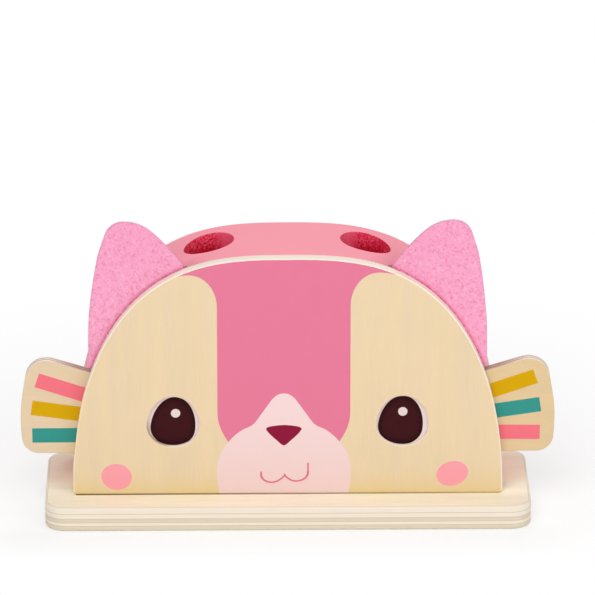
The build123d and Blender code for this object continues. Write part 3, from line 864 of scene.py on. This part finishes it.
paddle = Shader("striped plywood", roughness=0.52, specular=0.08)
right_side = (paddle.x + 0.5).clamped()
along_grain = (paddle, paddle.z, paddle.x, PADDLE_SEED)
left_bare, bare_height = veneer(*along_grain, LEFT_BIRCH, PADDLE_CONTRAST)
right_bare, _ = veneer(*along_grain, RIGHT_BIRCH, PADDLE_CONTRAST)
bare_colour = paddle.mix(left_bare, right_bare, right_side)
striped = bare_colour
stripes = None
for side, end_height, end, climb, colour in STRIPES:
    mask = inside(stripe(paddle.x * side, paddle.z, end_height, end, climb))
    striped = paddle.mix(striped, colour, mask)
    stripes = mask if stripes is None else stripes.most(mask)
through_paddle = paddle.y - PADDLE_FRONT
around_paddle = paddle.x + paddle.z
edge_colour, edge_height = plies(
    paddle, through_paddle, PADDLE_PLIES, around_paddle, PADDLE_GLUE, PADDLE_GLUE_WIDTH
)
# Painted shade: the edge darkens towards the arch.
painted_paddle_shade = (1 - (abs(paddle.x) - PADDLE_SHADE_FROM) / PADDLE_SHADE_LENGTH).clamped() * PADDLE_SHADE_AMOUNT
edge_colour = paddle.mix(edge_colour, PADDLE_EDGE_SHADE, painted_paddle_shade)
on_front = inside(through_paddle - PADDLE_SKIN)
on_back = inside(PADDLE_PLIES[-1][0] - PADDLE_SKIN - through_paddle)
paddle_colour = paddle.mix(edge_colour, bare_colour, on_back)
paddle_colour = paddle.mix(paddle_colour, striped, on_front)
front_height = bare_height * on_front * (1 - stripes * STRIPE_FILLS_GRAIN)
paddle_height = edge_height * (1 - on_front) + front_height
paddle_roughness = SANDED_ROUGHNESS - stripes * on_front * STRIPE_SMOOTHER
paddle_material = paddle.finish(paddle_colour, paddle_height, PADDLE_RELIEF, paddle_roughness)
dress(["left_paddle", "right_paddle"], paddle_material)

# %% [markdown]
# ## The painted body
#
# The three boards behind the face are painted pink as one block. Rolled paint is never flat: it
# keeps a fine orange peel, and the grain of the boards shows through a little.

# %% Pink paint
BODY_PINK = paint(253, 161, 175)
PINK_CLOUDS = 0.06
UNDER_GRAIN = (40, 1.2)

body = Shader("pink paint", roughness=0.42, specular=0.05)
peel = body.noise(body.place, scale=0.9, detail=2)
long_way, short_way = UNDER_GRAIN
grain_place = body.point(body.x / long_way, body.y / short_way, body.z / long_way)
under = body.noise(grain_place, detail=3)
clouds = body.noise(body.place, scale=0.035, detail=2)
pink = body.shaded(BODY_PINK, 1 - PINK_CLOUDS / 2 + clouds * PINK_CLOUDS)
print("the boards' grain is drawn out", round(long_way / short_way), "times")

# %% [markdown]
# Inside the peg holes the open end grain drank a deeper colour and stayed rough, with pale
# specks and dark pits; the pink light bouncing inside the bore is painted into that colour too.
# It is painted darker downwards from the rim, which slopes with the arch, as painted shade in
# the bore. The side of each hole towards the toy's middle is smoother and painted lighter, as
# painted light.

# %% Peg holes
PEG_X = 38.5
PEG_Y = 11.5
HOLE_RADIUS = 12.3
HOLE_MARGIN = 0.2
HOLE_SOFTNESS = 0.35
RIM_HEIGHT = 134.5
RIM_SLOPE = 0.22
HOLE_SEEN = 9.5
HOLE_POWER = 1.2
SMOOTH_FROM = 2
SMOOTH_FADE = 6
SMOOTHER = 0.8
LESS_HOLE_SHADE = 0.6
HOLE_ROSE = paint(250, 60, 98)
HOLE_SHADE = paint(182, 4, 38)
HOLE_SPECK = paint(255, 140, 164)
HOLE_LIT = paint(255, 104, 136)
SPECKS_ABOVE = 0.5
PITS_BELOW = 0.47
GRAIN_EDGE = 10
PATCHES_ABOVE = 0.34
PATCH_EDGE = 7
SPECK_FADE = 0.9
SPECK_AMOUNT = 0.85
PIT_AMOUNT = 0.65

from_axis = length(abs(body.x) - PEG_X, body.y - PEG_Y)
in_hole = inside(from_axis - (HOLE_RADIUS + HOLE_MARGIN), HOLE_SOFTNESS)
hole_rim = RIM_HEIGHT - (abs(body.x) - PEG_X) * RIM_SLOPE
hole_depth = ((hole_rim - body.z) / HOLE_SEEN).clamped()
towards_middle = ((PEG_X - SMOOTH_FROM - abs(body.x)) / SMOOTH_FADE).clamped()
rough = 1 - towards_middle * SMOOTHER
rough_grain = body.noise(body.place, scale=1.05, detail=3, roughness=0.7)
patches = body.noise(body.place, scale=0.12, detail=1)
specks = ((rough_grain - SPECKS_ABOVE) * GRAIN_EDGE).clamped()
specks = specks * ((patches - PATCHES_ABOVE) * PATCH_EDGE).clamped()
specks = specks * (1 - hole_depth * SPECK_FADE) * rough
pits = ((PITS_BELOW - rough_grain) * GRAIN_EDGE).clamped() * rough
# Painted shade: the bore darkens downwards from the rim, less on its lit side.
painted_hole_shade = hole_depth ** HOLE_POWER * (1 - towards_middle * LESS_HOLE_SHADE)
# Painted light: the side towards the toy's middle is lighter.
wall = body.mix(HOLE_ROSE, HOLE_LIT, towards_middle)
wall = body.mix(wall, HOLE_SHADE, (painted_hole_shade + pits * PIT_AMOUNT).clamped())
wall = body.mix(wall, HOLE_SPECK, specks * SPECK_AMOUNT)
body_colour = body.mix(pink, wall, in_hole)
print("a hole is", 2 * HOLE_RADIUS, "mm wide")

# %% [markdown]
# Each ear's slot is a little longer than the ear, so its inner end is a small gap. Its darkness
# and the soft shade around it are painted: a painted shadow spot and a painted shade on the
# front board's top. Only the top of the front board shows it, so both fade out below.

# %% Slot ends and finish
SLOT_END = (49.7, -12.1)
SLOT_LEVEL = 118
SLOT_FADE = 10
SLOT_RADIUS = 0.75
SLOT_SOFTNESS = 0.4
SLOT_SHADOW = paint(92, 22, 34)
SLOT_AMOUNT = 0.85
SHADE_REACH = 11
SHADE_AMOUNT = 0.2
PEEL_HEIGHT = 0.5
UNDER_HEIGHT = 0.5
GRAIN_RELIEF = 8
BODY_RELIEF = 0.05
BODY_ROUGHNESS = 0.42
HOLE_ROUGHER = 0.4

from_slot = length(abs(body.x) - SLOT_END[0], body.y - SLOT_END[1])
above_slot = ((body.z - SLOT_LEVEL) / SLOT_FADE).clamped()
# Painted shade around the slot's end.
painted_slot_shade = (1 - from_slot / SHADE_REACH).clamped() * above_slot
body_colour = body.shaded(body_colour, 1 - painted_slot_shade * SHADE_AMOUNT)
# Painted shadow: a dark spot where the slot's gap is.
painted_slot_shadow = inside(from_slot - SLOT_RADIUS, SLOT_SOFTNESS) * above_slot
body_colour = body.mix(body_colour, SLOT_SHADOW, painted_slot_shadow * SLOT_AMOUNT)
paint_height = (peel * PEEL_HEIGHT + under * UNDER_HEIGHT) * (1 - in_hole)
body_height = paint_height + rough_grain * GRAIN_RELIEF * in_hole
body_roughness = BODY_ROUGHNESS + in_hole * HOLE_ROUGHER
boards = ["body_front_board", "body_middle_board", "body_back_board"]
dress(boards, body.finish(body_colour, body_height, BODY_RELIEF, body_roughness))

# %% [markdown]
# ## The pegs and the small parts
#
# The pegs are turned beech with crimson paint, dull from the bores they slide in. Fine rings
# from the lathe run around them, so one noise varies with height alone.

# %% Pegs
PEG_CRIMSON = paint(198, 40, 76)
TURNING_RING = 0.5
PEG_CLOUDS = 0.12
PEG_ROUGHNESS = 0.34
PEG_RELIEF = 0.02

peg = Shader("peg paint", roughness=0.38, specular=0.45)
turning = peg.noise(peg.point(0.0, 0.0, peg.z / TURNING_RING), detail=2)
peg_clouds = peg.noise(peg.place, scale=0.12, detail=3)
peg_colour = peg.shaded(PEG_CRIMSON, 1 - PEG_CLOUDS / 2 + peg_clouds * PEG_CLOUDS)
peg_roughness = PEG_ROUGHNESS + peg_clouds * PEG_CLOUDS
peg_material = peg.finish(peg_colour, turning + peg_clouds, PEG_RELIEF, peg_roughness)
dress(["left_peg", "right_peg"], peg_material)

# %% [markdown]
# The feet, pins and dowels are bare beech: soft streaks of growth, and the short dark flecks
# that beech is known by.

# %% Beech
BEECH = paint(225, 186, 140)
RING = (3, 18)
FLECK = (0.35, 1.6)
FLECKS_ABOVE = 0.62
FLECK_EDGE = 7
BEECH_LEVEL = 0.88
RING_CONTRAST = 0.26
FLECK_DARKER = 0.16
BEECH_RELIEF = 0.04


def upright(size):
    """A place drawn out upwards, from a size across and a size up."""
    return beech.point(beech.x / size[0], beech.y / size[0], beech.z / size[1])


beech = Shader("beech", roughness=0.55, specular=0.3)
rings = beech.noise(upright(RING), detail=4, roughness=0.65)
flecks = beech.noise(upright(FLECK), detail=1)
fleck_mask = ((flecks - FLECKS_ABOVE) * FLECK_EDGE).clamped()
brightness = BEECH_LEVEL + rings * RING_CONTRAST - fleck_mask * FLECK_DARKER
beech_colour = beech.shaded(BEECH, brightness)
beech_nodes = ["body_dowels"]
for side in ("left", "right"):
    beech_nodes += [f"{side}_peg_foot", f"{side}_lift_pin", f"{side}_pivot_pin"]
dress(beech_nodes, beech.finish(beech_colour, rings - fleck_mask, BEECH_RELIEF))

# %% [markdown]
# The washers are nylon, and the screws that hold the base are zinc plated. Both are plain, so a
# faint cloudiness in the colour is enough, and the zinc's shine varies with it.

# %% Nylon and zinc
NYLON_WHITE = paint(238, 236, 230)
NYLON_LEVEL = 0.95
NYLON_HAZE = 0.08
ZINC_GREY = paint(196, 198, 202)
ZINC_LEVEL = 0.86
ZINC_MOTTLE = 0.2
ZINC_ROUGHNESS = 0.25
SMOOTH_RELIEF = 0.01

nylon = Shader("nylon", roughness=0.35, specular=0.5)
haze = nylon.noise(nylon.place, scale=0.8, detail=2)
nylon_colour = nylon.shaded(NYLON_WHITE, NYLON_LEVEL + haze * NYLON_HAZE)
nylon_material = nylon.finish(nylon_colour, haze, SMOOTH_RELIEF)
dress(["left_pivot_washers", "right_pivot_washers"], nylon_material)

zinc = Shader("zinc plated steel", roughness=0.32)
zinc.surface.inputs["Metallic"].default_value = 1.0
mottle = zinc.noise(zinc.place, scale=2.0, detail=3)
zinc_colour = zinc.shaded(ZINC_GREY, ZINC_LEVEL + mottle * ZINC_MOTTLE)
zinc_roughness = ZINC_ROUGHNESS + mottle * ZINC_MOTTLE
dress(["base_screws"], zinc.finish(zinc_colour, mottle, SMOOTH_RELIEF, zinc_roughness))

# %% [markdown]
# ## The felt ears
#
# Each ear is cut from felt three millimetres thick, and its root is held in a slot behind the
# panel. The CAD model has it as a hard flat plate, and the felt starts as a copy of that plate.
# A CAD mesh is loose triangles, so the copy's doubled corners are merged into one shell first.

# %% A merged copy of a plate
MERGE_WITHIN = 0.01 * MM


def merged_copy(plate, name):
    """A selected copy of a CAD node whose loose triangles are joined up."""
    copy = bpy.data.objects.new(name, plate.data.copy())
    bpy.context.scene.collection.objects.link(copy)
    bpy.ops.object.select_all(action="DESELECT")
    copy.select_set(True)
    bpy.context.view_layer.objects.active = copy
    bpy.ops.object.mode_set(mode="EDIT")
    bpy.ops.mesh.select_all(action="SELECT")
    bpy.ops.mesh.remove_doubles(threshold=MERGE_WITHIN)
    bpy.ops.object.mode_set(mode="OBJECT")
    print(name, "starts with", len(copy.data.vertices), "vertices")
    return copy


# %% [markdown]
# Felt has no hard edges. The copy is rebuilt from small even faces, its edges are softened, and
# a fine uneven surface is pushed out of it. The tip then leans, bows and drops a little,
# because nothing holds it there.

# %% Felt ears
FELT_CELL = 0.55 * MM
NAP_SIZE = 1.6 * MM
NAP_DEPTH = 0.16 * MM
EAR_MIDDLE_Y = -11.5 * MM
EAR_HELD_BELOW = 112 * MM
EAR_TOP = 154 * MM
FELT_SQUEEZE = 0.95

# How far each tip leans, bows and drops, in millimetres.
TIP_SAG = {"left": (0.45, 1.1, 0.5), "right": (0.6, 0.7, 0.0)}

felt_nap = bpy.data.textures.new("felt nap", "CLOUDS")
felt_nap.noise_scale = NAP_SIZE
felt_nap.noise_depth = 2
nap_settings = {
    "texture": felt_nap,
    "strength": NAP_DEPTH,
    "mid_level": 0.5,
    "texture_coords": "LOCAL",
}


def use(piece, kind, name, **settings):
    """Add a modifier to a piece, set it and apply it."""
    modifier = piece.modifiers.new(name, kind)
    for key, value in settings.items():
        setattr(modifier, key, value)
    bpy.ops.object.modifier_apply(modifier=name)


def felt_ear(side):
    """A soft copy of a CAD ear."""
    ear = merged_copy(nodes[f"{side}_ear"], f"{side}_felt_ear")
    use(ear, "REMESH", "even faces", mode="VOXEL", voxel_size=FELT_CELL)
    use(ear, "SMOOTH", "soft edges", factor=0.5, iterations=5)
    use(ear, "DISPLACE", "nap", **nap_settings)
    lean, bow, drop = (sag * MM for sag in TIP_SAG[side])
    for vertex in ear.data.vertices:
        place = vertex.co
        rise = max(0.0, (place.z - EAR_HELD_BELOW) / (EAR_TOP - EAR_HELD_BELOW))
        place.x += lean * rise
        place.y = EAR_MIDDLE_Y + (place.y - EAR_MIDDLE_Y) * FELT_SQUEEZE + bow * rise * rise
        place.z -= drop * rise
    bpy.ops.object.shade_smooth()
    print(ear.name, "faces:", len(ear.data.polygons))
    return ear


# %% [markdown]
# Felt is a mat of wool fibres that lie every way. Close up it has a speckle of lighter and
# darker tufts, short curled hairs, and a soft sheen at glancing angles. Two noises at different
# sizes, one of them warped by another, give the tufts and the hairs. Towards its tip an ear is
# painted a little deeper pink, a painted shade.

# %% Felt colour
FELT_PINK = paint(244, 163, 197)
FELT_DEEP = paint(224, 116, 156)
FELT_LIGHT = paint(255, 196, 220)
TUFT_CONTRAST = 4.5
TUFT_AMOUNT = 0.8
HAIR_ACROSS = 0.7
HAIR_ALONG = 1.6
SWIRL_ACROSS = 9
SWIRL_ALONG = 7
TIP_SHADE_FROM = 108
TIP_SHADE_LENGTH = 30
TIP_SHADE_AMOUNT = 0.12
SHEEN = 0.3
SHEEN_ROUGHNESS = 0.45

felt = Shader("pink felt", roughness=0.95, specular=0.1)
felt.surface.inputs["Sheen Weight"].default_value = SHEEN
felt.surface.inputs["Sheen Roughness"].default_value = SHEEN_ROUGHNESS
swirl = felt.noise(felt.place, scale=0.22, detail=2)
hair_x = felt.x / HAIR_ACROSS + swirl * SWIRL_ACROSS
hair_z = felt.z / HAIR_ALONG - swirl * SWIRL_ALONG
hair_place = felt.point(hair_x, felt.y / HAIR_ACROSS, hair_z)
hairs = felt.noise(hair_place, detail=3, roughness=0.65)
tufts = felt.noise(felt.place, scale=0.75, detail=2, roughness=0.6)
dark_tufts = ((0.5 - tufts) * TUFT_CONTRAST).clamped()
light_hairs = ((hairs - 0.5) * TUFT_CONTRAST).clamped()
# Painted shade: the ear darkens towards its tip.
painted_tip_shade = ((felt.z - TIP_SHADE_FROM) / TIP_SHADE_LENGTH).clamped()
felt_colour = felt.mix(FELT_PINK, FELT_DEEP, dark_tufts * TUFT_AMOUNT)
felt_colour = felt.mix(felt_colour, FELT_LIGHT, light_hairs * TUFT_AMOUNT)
felt_colour = felt.mix(felt_colour, FELT_DEEP, painted_tip_shade * TIP_SHADE_AMOUNT)
print("a hair is", HAIR_ACROSS, "mm across before it is warped")

# %% [markdown]
# Where an ear leaves the panel's curved edge it is pressed into a crease, darker from the
# pressed nap and from painted shade along the panel. The edge is a superellipse, and its
# distance is the value of the curve divided by how steeply it changes.

# %% Crease, and the finished ears
FELT_SHADE = paint(198, 50, 98)
PANEL_HALF_WIDTH = 106.2
PANEL_HEIGHT = 124.7
PANEL_SIDE_POWER = 2.88
PANEL_TOP_POWER = 2.18
CREASE_WIDTH = 1.8
CREASE_AMOUNT = 0.75
PRESS_CONTRAST = 4
PRESS_FROM = 1.3
TUFT_HEIGHT = 0.6
FELT_RELIEF = 0.22

side_part = abs(felt.x) / PANEL_HALF_WIDTH
top_part = (felt.z - BASE_TOP) / PANEL_HEIGHT
steepness = length(
    side_part ** (PANEL_SIDE_POWER - 1) * (PANEL_SIDE_POWER / PANEL_HALF_WIDTH),
    top_part ** (PANEL_TOP_POWER - 1) * (PANEL_TOP_POWER / PANEL_HEIGHT),
)
off_panel = (side_part ** PANEL_SIDE_POWER + top_part ** PANEL_TOP_POWER - 1) / steepness
crease = (1 - abs(off_panel) / CREASE_WIDTH).clamped()
# Painted shade in the crease, laid on the darker pressed tufts.
pressed_and_shaded = crease * (tufts * PRESS_CONTRAST - PRESS_FROM).clamped()
felt_colour = felt.mix(felt_colour, FELT_SHADE, pressed_and_shaded * CREASE_AMOUNT)
felt_material = felt.finish(felt_colour, tufts * TUFT_HEIGHT + hairs, FELT_RELIEF)

for side in ("left", "right"):
    ear = felt_ear(side)
    ear.data.materials.clear()
    ear.data.materials.append(felt_material)
    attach(ear, "frame")
    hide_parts(f"{side}_ear")

# %% [markdown]
# ## The studio
#
# A small toy is lit with big soft lights, so its shadows are faint. The floor is a white sheet.
# Seen directly, mirrored or through glass, it is mixed with a plain white, which keeps it as
# bright as paper and leaves only a breath of the toy's shadow on it.

# %% Floor
FLOOR_SIZE = 12
FLOOR_GAP = 0.02 * MM
PAPER_WHITE = paint(254, 254, 254)
PURE_WHITE = (1.0, 1.0, 1.0, 1.0)

bpy.ops.object.select_all(action="DESELECT")
bpy.ops.mesh.primitive_plane_add(size=FLOOR_SIZE, location=(0, 0, -FLOOR_GAP))
floor = bpy.context.object
floor.name = "studio_floor"

paper = Shader("white paper", roughness=0.9, specular=0.0)
paper.surface.inputs["Base Color"].default_value = PAPER_WHITE
seen = paper.node("ShaderNodeLightPath", {}, {}, "Is Camera Ray")
mirrored = Wire(paper, seen.socket.node.outputs["Is Glossy Ray"])
through_glass = Wire(paper, seen.socket.node.outputs["Is Transmission Ray"])
white = paper.node("ShaderNodeEmission", {}, {"Color": PURE_WHITE, "Strength": 1.0})
print("the floor lies", round(FLOOR_GAP / MM, 2), "mm below the toy")

# %% [markdown]
# Close behind and beside the toy half of the paper's own shading stays, and that is where its
# shadow lies. Farther out, and in front of the base, the plain white takes over.

# %% White around the toy
SHADOW_REACH = 130
SHADOW_FADE = 180
FRONT_REACH = -38
FRONT_FADE = 30
NEAR_SHARE = 0.5

far_out = ((length(paper.x, paper.y) - SHADOW_REACH) / SHADOW_FADE).clamped()
in_front = ((FRONT_REACH - paper.y) / FRONT_FADE).clamped()
white_part = NEAR_SHARE + far_out.most(in_front) * (1 - NEAR_SHARE)
share = seen.most(mirrored).most(through_glass) * white_part
shaded_paper = Wire(paper, paper.surface.outputs[0])
sheet = paper.node("ShaderNodeMixShader", {}, {0: share, 1: shaded_paper, 2: white})
paper.tree.links.new(sheet.socket, paper.tree.nodes["Material Output"].inputs["Surface"])
floor.data.materials.append(paper.material)
print("material:", paper.material.name, "with", len(paper.tree.nodes), "nodes")

# %% [markdown]
# The world is an even pale light from all sides. Three square lamps are added to it: the key
# in front and above, a weaker fill from the right, and one behind that lights the top.

# %% World and lamps
WORLD_STRENGTH = 0.42
AIM_HEIGHT = 0.07

world = bpy.data.worlds.new("studio")
bpy.context.scene.world = world
world.use_nodes = True
background = world.node_tree.nodes["Background"]
background.inputs["Color"].default_value = PURE_WHITE
background.inputs["Strength"].default_value = WORLD_STRENGTH


def soft_box(name, place, size, watts):
    """A square lamp that looks at the toy."""
    bpy.ops.object.light_add(type="AREA", location=place)
    lamp = bpy.context.object
    lamp.name = name
    lamp.data.shape = "SQUARE"
    lamp.data.size = size
    lamp.data.energy = watts
    aim = math.atan2(math.hypot(place[0], place[1]), place[2] - AIM_HEIGHT)
    lamp.rotation_euler = (aim, 0, math.atan2(place[0], -place[1]))
    print(name, "at", place, "gives", watts, "W")


soft_box("key_lamp", (-0.5, -1.7, 1.9), 1.5, 30)
soft_box("fill_lamp", (1.5, -1.4, 1.2), 1.4, 11.5)
soft_box("back_lamp", (0.3, 1.6, 2.0), 1.2, 12.5)
